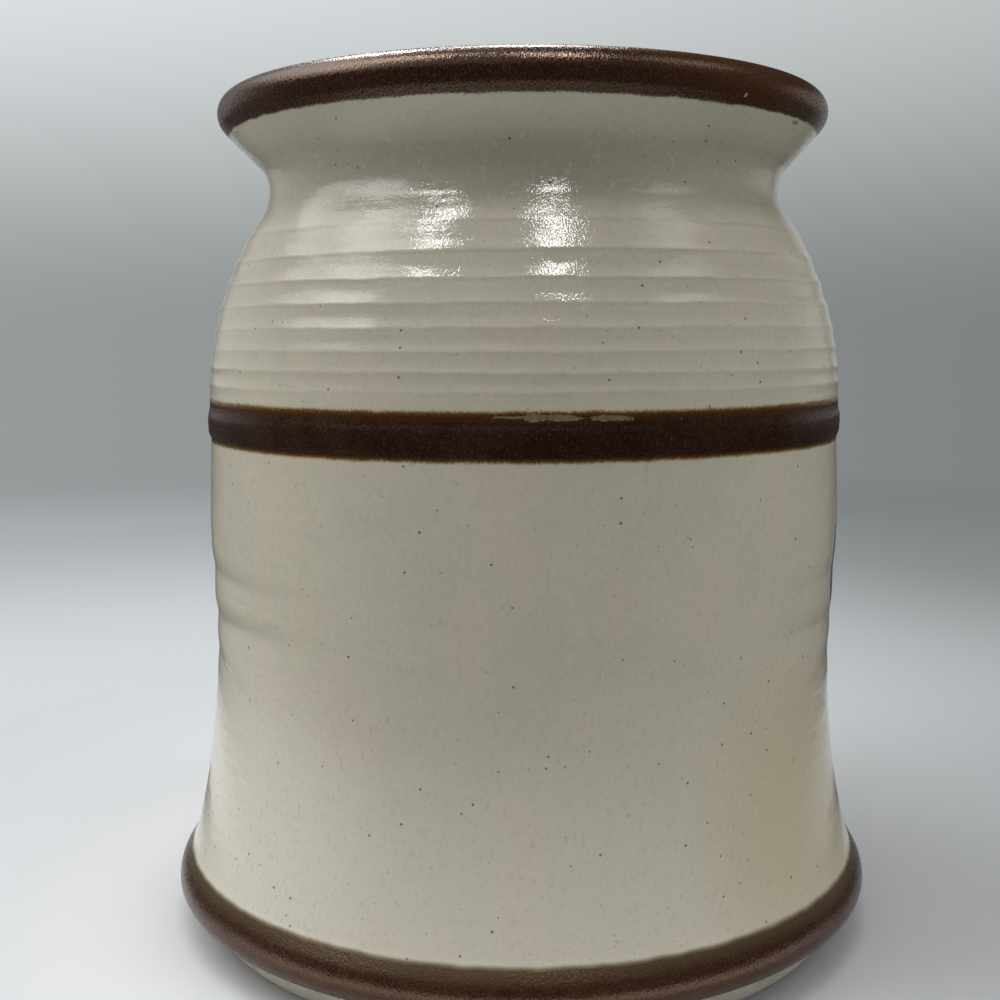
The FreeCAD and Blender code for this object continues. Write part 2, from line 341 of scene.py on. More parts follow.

# %% [markdown]
# The narrow hollow close under a ridge gets painted shade in the glaze colour, most of all under a crisp
# one, and molten glaze also gathers a little there. The finish will want to know where that is, so it is
# worked out beside the rings.

# %% Painted shade under the ridges
# Where the painted shade under a ridge starts, is full and ends, and its share under soft and crisp ridges
shadow_near, shadow_full, shadow_far = 0.15 * mm, 0.2 * mm, 1.1 * mm
soft_shadow, crisp_shadow = 0.15, 0.6


def ridge_shadow(level, angle):
    """Painted shade: above 0 in the hollow close under each ridge, and 0 away from it."""
    shadow = np.zeros(np.broadcast(level, angle).shape)
    for number, crisp in enumerate(ridge_crispness):
        below = ring_edge(number + 1, angle) - level
        shading = ease(below, 0.0, shadow_near) * (1 - ease(below, shadow_full, shadow_far))
        not_last = min(len(ring_depths) - 1 - number, 1)
        shadow = shadow + (soft_shadow + crisp_shadow * crisp) * shading * not_last
    return shadow


crispest = int(np.argmax(ridge_crispness)) + 1
under_ridge = float(ridge_shadow(ring_edge(crispest, 0) - shadow_full, 0))
# The print gives the share of painted shade just under the crispest ridge
print("Under the crispest ridge the glaze gathers to", round(under_ridge, 2))

# %% [markdown]
# ## Lifting dents
# Two hands lifted the wet pot off the wheel. The palms flattened its sides, and three fingers on each side
# left creases that run round towards the front and fade out. The left hand pressed harder. Each crease is
# a soft valley with a short slope above it and a long gentle one below, as a fingertip leaves in wet clay,
# and the lowest crease on each side drops as it runs towards the front.

# %% Relief of palms and fingers
palm_level = 66.0 * mm
palm_height = 27.0 * mm
slope_above = 4.0 * mm
slope_below = 12.0 * mm
crease_round = 0.9 * mm
fade_begin = 0.40
drop_begin, drop_end = math.radians(12), math.radians(46)
# Each crease: its level at the side, its rise or drop towards the front, its strength, its share of the reach
creases = [
    (79.8 * mm, -1.0 * mm, 0.7, 0.95),
    (69.4 * mm, 0.8 * mm, 1.0, 1.0),
    (61.5 * mm, -6.0 * mm, 0.8, 0.72),
]
# Each hand: its side in degrees, how deep its palm and its fingers press, and its reach in degrees
hands = [(-90, 1.0 * mm, 0.60 * mm, 62), (90, 0.55 * mm, 0.34 * mm, 56)]


def hump(values, reach):
    """A smooth bump: 1 in the middle, 0 beyond a reach to either side."""
    return (1 - np.clip(np.abs(values) / reach, 0, 1) ** 2) ** 2


def from_side(angle, side):
    """Angle away from a side of the pot, between half a turn back and half a turn on."""
    return (angle - math.radians(side) + math.pi) % (2 * math.pi) - math.pi


def palm_dents(level, angle):
    """Depth of the flattened sides, as a negative height."""
    height = np.zeros(np.broadcast(level, angle).shape)
    for side, depth, _, reach in hands:
        away = from_side(angle, side)
        height = height - depth * hump(away, math.radians(reach)) * hump(level - palm_level, palm_height)
    return height


def finger_creases(level, angle):
    """Depth of the creases, as a negative height."""
    height = np.zeros(np.broadcast(level, angle).shape)
    for side, _, depth, reach in hands:
        away = np.abs(from_side(angle, side))
        for at_side, drop, strength, share in creases:
            fading = 1 - ease(away, math.radians(fade_begin * reach * share), math.radians(reach * share))
            valley = at_side + drop * ease(away, drop_begin, drop_end)
            gap = np.sqrt((level - valley) ** 2 + crease_round**2) - crease_round
            dent = np.clip(1 - gap / np.where(level > valley, slope_above, slope_below), 0, 1) ** 2
            height = height - depth * strength * fading * dent
    return height


sides = np.radians([hand[0] for hand in hands])[None, :]
heights = np.linspace(bead_top, band_bottom, 200)[:, None]
pressed = -(palm_dents(heights, sides) + finger_creases(heights, sides)).min(axis=0)
print("Palms and fingers at most", (pressed / mm).round(2), "mm deep, left and right")

# %% [markdown]
# ## The raised band
# The brown band is a thick stripe of glaze that stands proud, with a thinner ledge along its top, and near
# the front a strip of that ledge has flaked off. A displacement texture could raise it, but its edges are
# known lines, so formulas of the level draw them, and the flake's outline is made ragged by a few waves.

# %% Relief of the band and its flake
band_edge = 0.14 * mm
band_step = 0.26 * mm
band_crown = 0.20 * mm
ledge_width = 2.9 * mm
step_above, step_below = 0.9 * mm, 1.0 * mm
top_round, bottom_round = 0.8 * mm, 1.8 * mm
flake_side = 5.2
flake_reach = math.radians(13)
flake_loss = 0.9
flake_soft = 0.22 * mm
# Lower and upper edge of the flake in millimetres under the band's top, and how much each of them slants
flake_low, flake_high = 1.45, 0.55
low_slant, high_slant = 0.25, 0.30


def flake(level, angle):
    """1 where the band's glaze has flaked off, 0 elsewhere."""
    away = from_side(angle, flake_side)
    ragged = 0.20 * np.sin(31 * angle) + 0.18 * np.sin(67 * angle + 1) + 0.12 * np.sin(113 * angle)
    low = band_top - (flake_low + low_slant * away / flake_reach + ragged) * mm
    high = band_top - (flake_high + high_slant * away / flake_reach - ragged) * mm
    above_low = ease(level, low - flake_soft, low + flake_soft)
    below_high = 1 - ease(level, high - flake_soft, high + flake_soft)
    return above_low * below_high * ease(hump(away, flake_reach), 0.0, 0.3)


def raised_band(level, angle):
    """Height of the band over the cream glaze."""
    from_top, from_bottom = band_top - level, level - band_bottom
    share = np.clip(from_bottom / (band_top - band_bottom - ledge_width / 2), 0, 1)
    ledge = band_edge * ease(from_top, 0, top_round) * (1 - flake_loss * flake(level, angle))
    stripe = band_step * ease(from_top, ledge_width - step_above, ledge_width + step_below)
    proud = (ledge + stripe) * ease(from_bottom, 0, bottom_round) + band_crown * 4 * share * (1 - share)
    return np.where((from_top > 0) & (from_bottom > 0), proud, 0)


band_proud = float(raised_band(np.array((band_bottom + band_top) / 2), math.pi))
print("Band stands", round(band_proud / mm, 2), "mm proud at its middle")

# %% [markdown]
# ## The inside and the foot
# Inside, the fingers left a slow spiral that climbs the wall, and the bare foot shows fine lines from the
# trimming tool. Both are waves along the section, and the spiral also turns with the angle.

# %% Relief of the liner and the foot
spiral_pitch = 5.6 * mm
floor_pitch = 1.4 * spiral_pitch
spiral_height = 0.22 * mm
wall_begin = 10 * mm
calm_middle = (3 * mm, 12 * mm)
calm_neck = 12 * mm
trim_pitch = 1.7 * mm
fine_trim_pitch = 0.6 * trim_pitch
trim_depth = 0.03 * mm
standing_level, trimmed_level = 0.2 * mm, 0.6 * mm


def throwing_spiral(radius, level, angle):
    """The spiral of the fingers, up the wall and over the floor inside."""
    on_wall = ease(level, corner_top, corner_top + wall_begin)
    wall_wave = np.sin(2 * math.pi * level / spiral_pitch + angle)
    floor_wave = np.sin(2 * math.pi * radius / floor_pitch - angle) * ease(radius, *calm_middle)
    fade = 1 - ease(level, neck_level - calm_neck, neck_level)
    return spiral_height * fade * (on_wall * wall_wave + (1 - on_wall) * floor_wave)


def trimming_lines(radius, level):
    """Lines of the trimming tool on the bare foot, none where it stands on the table."""
    off_table = ease(level, standing_level, trimmed_level)
    coarse = np.sin(2 * math.pi * (radius + level) / trim_pitch)
    fine = 0.5 * np.sin(2 * math.pi * radius / fine_trim_pitch)
    return trim_depth * (coarse + fine) * off_table


print("The spiral climbs", spiral_pitch / mm, "mm in a turn")

# %% [markdown]
# ## All the relief together
# A thrown pot is also a little out of round, leans a hair to one side, and keeps faint ripples all over.
# All of these are heights along the same normals, so they simply add up. The rows of the section know
# which stretch they belong to, so each stretch takes only its own relief.

# %% Add up the relief over the whole section
out_of_round = 0.14 * mm
oval_full = bead_top + 6 * mm
lean_reach = 0.35 * mm
lean_begin, lean_full = 60 * mm, 100 * mm
lean_less, lean_end = 163 * mm, 174 * mm
ripple = 0.009 * mm
ripple_pitch, slow_ripple_pitch = 2.3 * mm, 3.9 * mm
ripple_begin, ripple_full = bead_top + 2 * mm, bead_top + 8 * mm
ripple_less, ripple_end = 164 * mm, 170 * mm
waver_height = 0.06 * mm
waver_full = rim_edge + 3 * mm


def outside_relief(level, angle):
    """Everything that the hands left on the outside, apart from the band's own height."""
    oval = -out_of_round * (1 + np.cos(2 * angle + 0.6)) / 2
    upper = ease(level, lean_begin, lean_full) - ease(level, lean_less, lean_end)
    ripples = np.sin(2 * math.pi * level / ripple_pitch + angle)
    ripples = ripples + np.sin(2 * math.pi * level / slow_ripple_pitch - 2 * angle)
    fade = ease(level, ripple_begin, ripple_full) * (1 - ease(level, ripple_less, ripple_end))
    height = oval + lean_reach * np.sin(angle) * upper + ripple * ripples * fade
    height = height * ease(level, bead_top, oval_full)
    return height + throwing_rings(level, angle) + palm_dents(level, angle) + finger_creases(level, angle)


radius, level = section[:, :1], section[:, 1:]
angle = theta[None, :]
row = np.arange(len(section))[:, None]
in_liner = row >= spans["liner"][0]
in_foot = row <= spans["foot"][1]
lip_top = int(np.argmax(section[:, 1]))
on_outside = (row > spans["foot"][1]) & (row <= lip_top)
on_lip = ease(level, rim_edge, waver_full)
lip_waver = waver_height * np.sin(3 * angle + 1) * on_lip - waver_height * on_lip
relief = np.where(on_outside, outside_relief(level, angle) + raised_band(level, angle), 0)
relief = relief + np.where(in_liner, throwing_spiral(radius, level, angle), 0)
relief = relief + np.where(in_foot, trimming_lines(radius, level), lip_waver)
print("Relief from", round(relief.min() / mm, 2), "to", round(relief.max() / mm, 2), "mm")

# %% [markdown]
# ## From section to mesh
# A grid of points, one row for each point of the section and one column for each step round the pot,
# becomes a mesh of four-sided faces. A coat is a closed shell: its rows run up the glazed face and come
# back down the face that lies on the clay, with fewer rows there because nobody sees it. Edges sharper
# than a set angle stay crisp, and the rest is shaded smooth.

# %% Helpers that place points and make meshes
tilt = 0.005
tilt_levels = np.array([0, 6, 16, 112, 165, 180]) * mm
tilt_shares = [0, 0.7, 0.8, 1.0, 0.3, 0]
crisp_angle = math.radians(50)
weld_gap = 1e-7


def place(radius, level, angle):
    """Points in the crock's frame. The angle runs from the front towards +X. Rings tilt up to the right."""
    x = radius * np.sin(angle)
    z = level + tilt * x * np.interp(level, tilt_levels, tilt_shares)
    return np.stack([x, -radius * np.cos(angle) + 0 * level, z], axis=-1)


def turned(rows, depth):
    """Grid of points for some rows of the section, at a depth under the glaze."""
    out = relief[rows] - depth
    return place(radius[rows] + normals[rows, :1] * out, level[rows] + normals[rows, 1:] * out, angle)


def grid_mesh(name, grid, marks, looped):
    """A mesh object from a grid that closes on itself round the pot, with marks kept as attributes."""
    count, around = grid.shape[:2]
    index = np.arange(count * around).reshape(count, around)
    beside = np.roll(index, -1, axis=1)
    corners = (index, beside, np.roll(beside, -1, axis=0), np.roll(index, -1, axis=0))
    lower = slice(None) if looped else slice(0, -1)
    faces = np.stack([corner[lower] for corner in corners], axis=-1).reshape(-1, 4)
    mesh = bpy.data.meshes.new(name)
    mesh.from_pydata(grid.reshape(-1, 3).tolist(), [], faces.tolist())
    for mark, values in marks.items():
        kept = mesh.attributes.new(mark, "FLOAT", "POINT")
        kept.data.foreach_set("value", np.broadcast_to(values, (count, around)).astype(np.float32).ravel())
    piece = bpy.data.objects.new(name, mesh)
    bpy.context.scene.collection.objects.link(piece)
    return piece


def settle(piece, body="root"):
    """Weld the points that fall together, shade the piece smooth and let it ride on the pot."""
    work = bmesh.new()
    work.from_mesh(piece.data)
    bmesh.ops.remove_doubles(work, verts=work.verts, dist=weld_gap)
    work.to_mesh(piece.data)
    work.free()
    piece.data.polygons.foreach_set("use_smooth", [True] * len(piece.data.polygons))
    piece.data.set_sharp_from_angle(angle=crisp_angle)
    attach(piece, body)
    print(piece.name, "has", len(piece.data.polygons), "faces")
    return piece


print("Rings tilt up by", round(tilt * waist_radius / mm, 2), "mm at the right-hand side")

# %% [markdown]
# ## The coats of glaze
# Each coat takes its stretch of the section. Its glazed face goes up row by row, and its back comes down
# half a millimetre deeper. The level of every point is kept as an attribute in millimetres, so the finishes
# can find a coat's edge even where the rings tilt. Another attribute holds painted shade and painted light:
# darker where a finger's crease faces down, close under a ridge and in the middle of a ring's hollow, and
# paler where a crease faces up and along the ridges. A third marks the flaked strip of the band.

# %% Make the six coats
back_stride = 8
probe = 0.3 * mm
steep_full = 0.16 * mm
ring_full, ring_share = 0.2 * mm, 0.3
# Painted shade and light: above 0 where the glaze is painted darker, below 0 where it is painted paler
steepness = finger_creases(level + probe, angle) - finger_creases(level - probe, angle)
shading_sum = steepness / steep_full + ridge_shadow(level, angle)
shading_sum = shading_sum - ring_share * throwing_rings(level, angle) / ring_full
painted_shading = np.where(on_outside, np.clip(shading_sum, -1, 1), 0)
flaked = np.where((row >= spans["band"][0]) & (row <= spans["band"][1]), flake(level, angle), 0)


def coat_rows(stretch):
    """Rows of a coat's glazed face, and the fewer rows of its back, from the top down."""
    first, last = spans[stretch]
    face = np.arange(first, last + 1)
    back = np.unique(np.append(face[::back_stride], last))[::-1]
    return face, back


def glaze_coat(name, stretch, node):
    """One coat as a closed shell that stands for its node."""
    face, back = coat_rows(stretch)
    rows = np.concatenate([face, back])
    deep = np.concatenate([np.zeros(len(face)), np.full(len(back), coat)])[:, None]
    marks = {"level": level[rows] / mm, "painted_shading": painted_shading[rows], "flaked": flaked[rows]}
    piece = grid_mesh(name, turned(rows, deep), marks, looped=True)
    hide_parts(node)
    return settle(piece)


cream_shoulder = glaze_coat("cream_shoulder", "shoulder", "shoulder_glaze")
cream_belly = glaze_coat("cream_belly", "belly", "belly_glaze")
brown_rim = glaze_coat("brown_rim", "rim", "rim_glaze")
brown_band = glaze_coat("brown_band", "band", "shoulder_band_glaze")
brown_bead = glaze_coat("brown_bead", "bead", "foot_bead_glaze")
cream_liner = glaze_coat("cream_liner", "liner", "liner_glaze")

# %% [markdown]
# ## The clay
# The vessel under the coats shows only at its foot and base, which the glaze must not reach or the pot
# would stick to the kiln shelf. It starts in the middle of the base, passes the foot, follows the back of
# every coat up, over the lip and down, and ends in the middle of the floor, so it is one closed solid.

# %% Make the clay vessel
foot_rows = np.arange(0, spans["foot"][1] + 1)
under_coats = [coat_rows(name)[1][::-1] for name in stretches if name != "foot"]
clay_rows = np.concatenate([foot_rows] + under_coats)
clay_depth = np.concatenate([np.zeros(len(foot_rows))] + [np.full(len(rows), coat) for rows in under_coats])
clay_marks = {"level": level[clay_rows] / mm}
clay_vessel = grid_mesh("clay_vessel", turned(clay_rows, clay_depth[:, None]), clay_marks, looped=False)
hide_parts("clay_body")
settle(clay_vessel)

# %% [markdown]
# ## The blue brushwork
# A vine is brushed round the right side and the back: crescent stems, pointed leaves and round berries,
# a plain design of the kind that decorators learn first. Each stroke is a thin patch that lies on the
# belly's own surface, dents included, thickest along its middle as a loaded brush leaves it. A picture
# pasted on the glaze would be quicker, but it would have no edge to catch the light.

# %% A brush stroke as a thin closed patch
stroke_height = 0.13 * mm
stroke_edge = 0.03 * mm
stroke_sink = 0.1 * mm
stroke_steps, stroke_ribs = 40, 12


def on_belly(across, level, angle, lift):
    """Points on the belly, for a distance across the view from an angle."""
    wall_radius = belly_line(level)
    turn = angle + np.arcsin(np.clip(across / wall_radius, -1, 1))
    return place(wall_radius + outside_relief(level, turn) + lift, level, turn)


def brush_stroke(name, angle, start, end, bow, half_width, fullness):
    """One stroke from start to end, each (across, level), bowed to one side and tapered by its fullness."""
    along = ((1 - np.cos(np.linspace(0, math.pi, stroke_steps))) / 2)[:, None]
    over = np.linspace(-1, 1, stroke_ribs)
    across = np.concatenate([over, over[::-1]])[None, :]
    upper = np.concatenate([np.ones(stroke_ribs), np.zeros(stroke_ribs)])[None, :]
    start, end = np.array(start), np.array(end)
    length = np.hypot(*(end - start))
    sideways = np.array([start[1] - end[1], end[0] - start[0]]) / length
    body = 4 * along * (1 - along)
    waver = 1 + 0.05 * np.sin(9 * along + 7 * angle) + 0.03 * np.sin(23 * along + 3 * angle)
    offset = bow * body + across * half_width * body**fullness * np.where(body > 0, waver, 1)
    spots = start + along[..., None] * (end - start) + offset[..., None] * sideways
    crown = stroke_edge + (stroke_height - stroke_edge) * (1 - across**2)
    grid = on_belly(spots[..., 0], spots[..., 1], angle, upper * crown - (1 - upper) * stroke_sink)
    marks = {"along": along * length / mm, "across": across, "stroke": angle % 1 + 0 * along}
    return grid_mesh(name, grid, marks, looped=False)


print("A stroke stands", stroke_height / mm, "mm above the cream glaze")

# %% [markdown]
# The strokes repeat along the vine, so a loop lays them out half a wave at a time, up and down in turn.
# One larger leaf ends the vine at the right.

# %% Lay out the vine
belly_middle = (bead_top + band_bottom) / 2
vine_level = belly_middle + 5 * mm
vine_start, vine_step, half_waves = 88, 29, 6
vine_wave, stem_width, stem_gap = 7 * mm, 2.2 * mm, 1.5 * mm
leaf_length, leaf_width, leaf_lean, leaf_gap = 25 * mm, 11 * mm, 9 * mm, 2 * mm
berry_radius, berry_pitch = 2.2 * mm, 6.5 * mm
end_leaf_angle, end_leaf_level = math.radians(77), belly_middle + 16 * mm
end_leaf_length, end_leaf_width, end_leaf_lean = 34 * mm, 20 * mm, 4 * mm
stem_full, leaf_full, berry_full = 1.0, 0.9, 0.5
half_span = waist_radius * math.sin(math.radians(vine_step / 2)) - stem_gap / 2
stems, leaves, berries = [], [], []
for number in range(half_waves):
    way = 1 if number % 2 == 0 else -1
    turn = math.radians(vine_start + (number + 0.5) * vine_step)
    crest = vine_level + way * vine_wave
    start, end = (-half_span, vine_level), (half_span, vine_level)
    stems.append(brush_stroke("stem", turn, start, end, way * vine_wave, stem_width / 2, stem_full))
    leaf_foot = crest + way * (stem_width / 2 + leaf_gap)
    start, end = (-leaf_lean / 2, leaf_foot), (leaf_lean / 2, leaf_foot + way * leaf_length)
    leaves.append(brush_stroke("leaf", turn, start, end, 0, leaf_width / 2, leaf_full))
    for side in (-1, 0, 1):
        drop = vine_wave + berry_radius + stem_gap + abs(side) * berry_pitch / 2
        middle = crest - way * drop
        start, end = (side * berry_pitch, middle - berry_radius), (side * berry_pitch, middle + berry_radius)
        berries.append(brush_stroke("berry", turn, start, end, 0, berry_radius, berry_full))
start = (end_leaf_lean / 2, end_leaf_level - end_leaf_length / 2)
end = (-end_leaf_lean / 2, end_leaf_level + end_leaf_length / 2)
leaves.append(brush_stroke("leaf", end_leaf_angle, start, end, 0, end_leaf_width / 2, leaf_full))
print("Strokes:", len(stems), "stems,", len(leaves), "leaves and", len(berries), "berries")

# %% [markdown]
# The strokes of one kind are joined into one object, because they are one step of the decorator's work.

# %% Join the strokes by kind
def one_piece(name, strokes, node):
    """Join the strokes of one kind into a piece that stands for its node."""
    with bpy.context.temp_override(active_object=strokes[0], selected_editable_objects=strokes):
        bpy.ops.object.join()
    piece = strokes[0]
    piece.name = name
    piece.data.name = name
    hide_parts(node)
    return settle(piece)


vine_stems = one_piece("vine_stems", stems, "blue_stem_strokes")
vine_leaves = one_piece("vine_leaves", leaves, "blue_leaf_strokes")
vine_berries = one_piece("vine_berries", berries, "blue_berry_strokes")

# %% [markdown]
# ## Writing shaders as sums
# A finish is a small calculation on every point of a surface. Wiring it by hand takes a node for each
# plus and times, so one class wraps a socket and lets Python's own signs add the Math nodes. Any other node
# comes from one method, which sets the node's settings first and then gives its sockets values or links.

# %% The class that wraps a socket
class Wire:
    """A socket in a node tree. Sums and products with it add Math nodes to the tree."""

    def __init__(self, tree, socket=None):
        self.tree = tree
        self.socket = socket

    def feed(self, node, inputs):
        """Give a node's sockets their values, or links where a value is a wire."""
        for name, value in inputs.items():
            if isinstance(value, Wire):
                self.tree.links.new(value.socket, node.inputs[name])
            else:
                node.inputs[name].default_value = value

    def node(self, kind, settings=None, inputs=None, output=0):
        """Add a node of a kind: its settings first, then the values or links of its sockets."""
        made = self.tree.nodes.new(kind)
        for name, value in (settings or {}).items():
            setattr(made, name, value)
        self.feed(made, inputs or {})
        return Wire(self.tree, made.outputs[output])

    def math(self, operation, *values):
        """Add a Math node for an operation on some values."""
        return self.node("ShaderNodeMath", {"operation": operation}, dict(enumerate(values)))

    def __add__(self, other):
        return self.math("ADD", self, other)

    def __sub__(self, other):
        return self.math("SUBTRACT", self, other)

    def __rsub__(self, other):
        return self.math("SUBTRACT", other, self)

    def __mul__(self, other):
        return self.math("MULTIPLY", self, other)

    def __truediv__(self, other):
        return self.math("DIVIDE", self, other)

    def __pow__(self, other):
        return self.math("POWER", self, other)

    def __abs__(self):
        return self.math("ABSOLUTE", self)

    __radd__ = __add__
    __rmul__ = __mul__

    def smooth(self, low, high):
        """0 below low, 1 above high, or the other way round where low is the larger."""
        limits = {"From Min": min(low, high), "From Max": max(low, high)}
        ends = {"To Min": float(low > high), "To Max": float(low <= high)}
        settings = {"interpolation_type": "SMOOTHSTEP"}
        return self.node("ShaderNodeMapRange", settings, {"Value": self, **limits, **ends})

    def mix(self, first, second):
        """A colour between two others, with this wire as the share of the second."""
        colours = {0: self, 6: first, 7: second}
        return self.node("ShaderNodeMix", {"data_type": "RGBA"}, colours, output=2)

    def part(self, axis):
        """One part of a vector: 0 for X, 1 for Y and 2 for Z."""
        return self.node("ShaderNodeSeparateXYZ", None, {0: self}, output=axis)


print("A wire can:", ", ".join(name for name in vars(Wire) if not name.startswith("__")))

# %% [markdown]
# ## What the finishes share
# Every finish needs to know where it is on the pot and needs grain at a stated size. The object's own
# coordinates are metres in the crock's frame, so noise at a scale of 1 / size has grains of that size,
# and it runs on across the seam from one coat to the next. Stretching the coordinates gives streaks.

# %% Helpers for places and grain
least_speck = 1e-4
degrees = 180 / math.pi


def here(wire, stretch=(1, 1, 1)):
    """The place on the pot, with each axis stretched to turn round grains into streaks."""
    spot = wire.node("ShaderNodeTexCoord", output="Object")
    return wire.node("ShaderNodeVectorMath", {"operation": "MULTIPLY"}, {0: spot, 1: stretch})


def grain(wire, size, detail=2.0, stretch=(1, 1, 1)):
    """Soft noise from 0 to 1 with grains of about a size."""
    inputs = {"Vector": here(wire, stretch), "Scale": 1 / size, "Detail": detail, "Roughness": 0.55}
    return wire.node("ShaderNodeTexNoise", None, inputs)


def specks(wire, spacing, radius, share=1.0):
    """1 inside round specks of up to a radius, in cells a spacing apart, in a share of those cells."""
    inputs = {"Vector": here(wire), "Scale": 1 / spacing, "Randomness": 1.0}
    distance = wire.node("ShaderNodeTexVoronoi", None, inputs, output="Distance")
    chance = wire.node("ShaderNodeTexVoronoi", None, inputs, output="Color")
    chance = wire.node("ShaderNodeSeparateColor", None, {0: chance}, output=0)
    reach = (chance / share).smooth(1.0, 0.3) * (radius / spacing)
    return (distance / (reach + least_speck)).smooth(1.15, 0.7)


def mark(wire, name):
    """A value that the mesh keeps at each point."""
    return wire.node("ShaderNodeAttribute", {"attribute_name": name}, output="Fac")


def spot_at(wire, middle_turn, middle_level, wide, tall):
    """A soft round spot at an angle and a level, with its half width in degrees and half height in mm."""
    spot = here(wire)
    turn = wire.math("ARCTAN2", spot.part(0), 0 - spot.part(1)) * degrees
    away = ((turn - middle_turn) / wide) ** 2 + ((mark(wire, "level") - middle_level) / tall) ** 2
    return away.smooth(1.0, 0.0)


print("Noise with grains of 1 mm has a scale of", round(1 / mm))

# %% [markdown]
# A finish is also put together and put on in the same way each time. Its colour starts from one tone, and
# other tones are laid over it through masks. Colour, roughness and a bump are linked to the shader that a
# new material comes with, and what is the same all over is set on the shader's own sockets.

# %% Helpers that make a finish and put it on
def opaque(red, green, blue):
    """A colour as a socket wants it, with full alpha."""
    return (red, green, blue, 1.0)


def start_finish(name):
    """A new material and a wire to start from."""
    material = bpy.data.materials.new(name)
    material.use_nodes = True
    return material, Wire(material.node_tree)


def layered(colour, layers):
    """A colour with other tones laid over it in turn, each through its mask."""
    for mask, tone in layers:
        colour = mask.mix(colour, tone)
    return colour


def dress(wire, colour, roughness, height, depth, more=None):
    """Feed a finish's shader: colour, roughness, a height in shares of a depth in metres, and any more."""
    normal = wire.node("ShaderNodeBump", None, {"Distance": depth, "Height": height})
    looks = {"Base Color": colour, "Roughness": roughness, "Normal": normal}
    wire.feed(wire.tree.nodes["Principled BSDF"], {**looks, **(more or {})})


def wear(material, *pieces):
    """Give pieces their finish."""
    for piece in pieces:
        piece.data.materials.clear()
        piece.data.materials.append(material)
    print(material.name, "has", len(material.node_tree.nodes), "nodes, on", ", ".join(p.name for p in pieces))


print("Opaque white is", opaque(1.0, 1.0, 1.0))

# %% [markdown]
# ## Where brown meets cream
# At its edges the brown iron glaze soaks into the cream in short upright hairs, and both coats show this. So
# one field serves both: the distance into the brown in millimetres, with streaky noise added. It is
# negative in the cream, and because it is worked out from places on the pot, not on one mesh, it passes
# over the seam between two coats without a step.

# %% Distance into the brown
bead_overrun = 0.15
band_overrun = 0.35
few_hairs, more_hairs, slow_wander = 0.1, 0.8, 0.5


def streaks(wire):
    """Noise about zero, in millimetres: fine upright hairs, fewer at the bead, and a slower wander."""
    hairiness = few_hairs + mark(wire, "level").smooth(40, 60) * more_hairs
    hairs = (grain(wire, 0.22 * mm, 1, (1, 1, 0.5)) - 0.5) * hairiness
    return hairs + (grain(wire, 5 * mm, 1) - 0.5) * slow_wander


def iron_depth(wire, coats=("rim", "band", "bead")):
    """Distance into the nearest of some brown coats, in millimetres, ragged with streaks."""
    height = mark(wire, "level")
    band = wire.math("MINIMUM", height - (band_bottom / mm - band_overrun), band_top / mm - height)
    inward = {"rim": height - rim_edge / mm, "band": band, "bead": bead_top / mm + bead_overrun - height}
    nearest = inward[coats[0]]
    for name in coats[1:]:
        nearest = wire.math("MAXIMUM", nearest, inward[name])
    return nearest + streaks(wire)


print("Brown runs", bead_overrun, "mm past the bead's top and", band_overrun, "mm past the band's foot")

# %% [markdown]
# The soaked edge has a tone of its own on each coat: olive at the bead, amber at the band and plain brown
# at the rim. A paler fringe lies outside it. Levels well away from any edge tell the three coats apart.

# %% Colour of the soaked edge
amber = opaque(0.088, 0.041, 0.007)
gold = opaque(0.280, 0.190, 0.075)
olive = opaque(0.082, 0.057, 0.027)
pale_olive = opaque(0.260, 0.220, 0.140)
brown_edge = opaque(0.045, 0.022, 0.012)
soak_reach, soak_less = 0.55, 0.20


def soak(wire, depth, colour):
    """A colour with the soaked edge of the brown over it."""
    height = mark(wire, "level")
    above_bead, at_rim = height.smooth(60, 61), height.smooth(150, 151)
    tone = at_rim.mix(above_bead.mix(olive, amber), brown_edge)
    fringe = (above_bead * height.smooth(151, 150)).mix(pale_olive, gold)
    reach = soak_reach - height.smooth(40, 60) * soak_less - height.smooth(140, 160) * soak_less
    into = depth / reach
    return layered(colour, [(into.smooth(-1.2, 0.2), fringe), (into.smooth(-0.4, 1.0), tone)])


rim_soak = soak_reach - 2 * soak_less
print("The edge soaks", soak_reach, "mm at the bead and", round(rim_soak, 2), "mm at the rim")

# %% [markdown]
# ## Cream glaze
# The glaze is a warm off-white that drifts between grey and a faint pink, and it is honey-coloured at the
# lower right, where it was thicker. Painted light makes it paler towards the foot and whiter at the lower
# left, and painted shade greys the hollow of the neck under the lip. Iron in the clay bleeds through as fine
# dark specks. A painted picture could hold all this, but masks by level, angle and noise stay sharp at any
# distance.

# %% Colour of the cream glaze
cream = opaque(0.530, 0.484, 0.380)
cream_grey = opaque(0.500, 0.469, 0.374)
cream_pink = opaque(0.549, 0.480, 0.385)
cream_honey = opaque(0.530, 0.455, 0.315)
mottle_and_light = opaque(0.605, 0.562, 0.459)
lit_low_cream = opaque(0.660, 0.608, 0.495)
left_lit_cream = opaque(0.700, 0.660, 0.575)
neck_shade = opaque(0.455, 0.420, 0.330)
throat_shade = opaque(0.355, 0.325, 0.250)
mottle_and_shade = opaque(0.405, 0.374, 0.292)
iron = opaque(0.060, 0.042, 0.032)
left_light_place = (-58, 30, 44, 44)
honey_place = (52, 36, 30, 40)


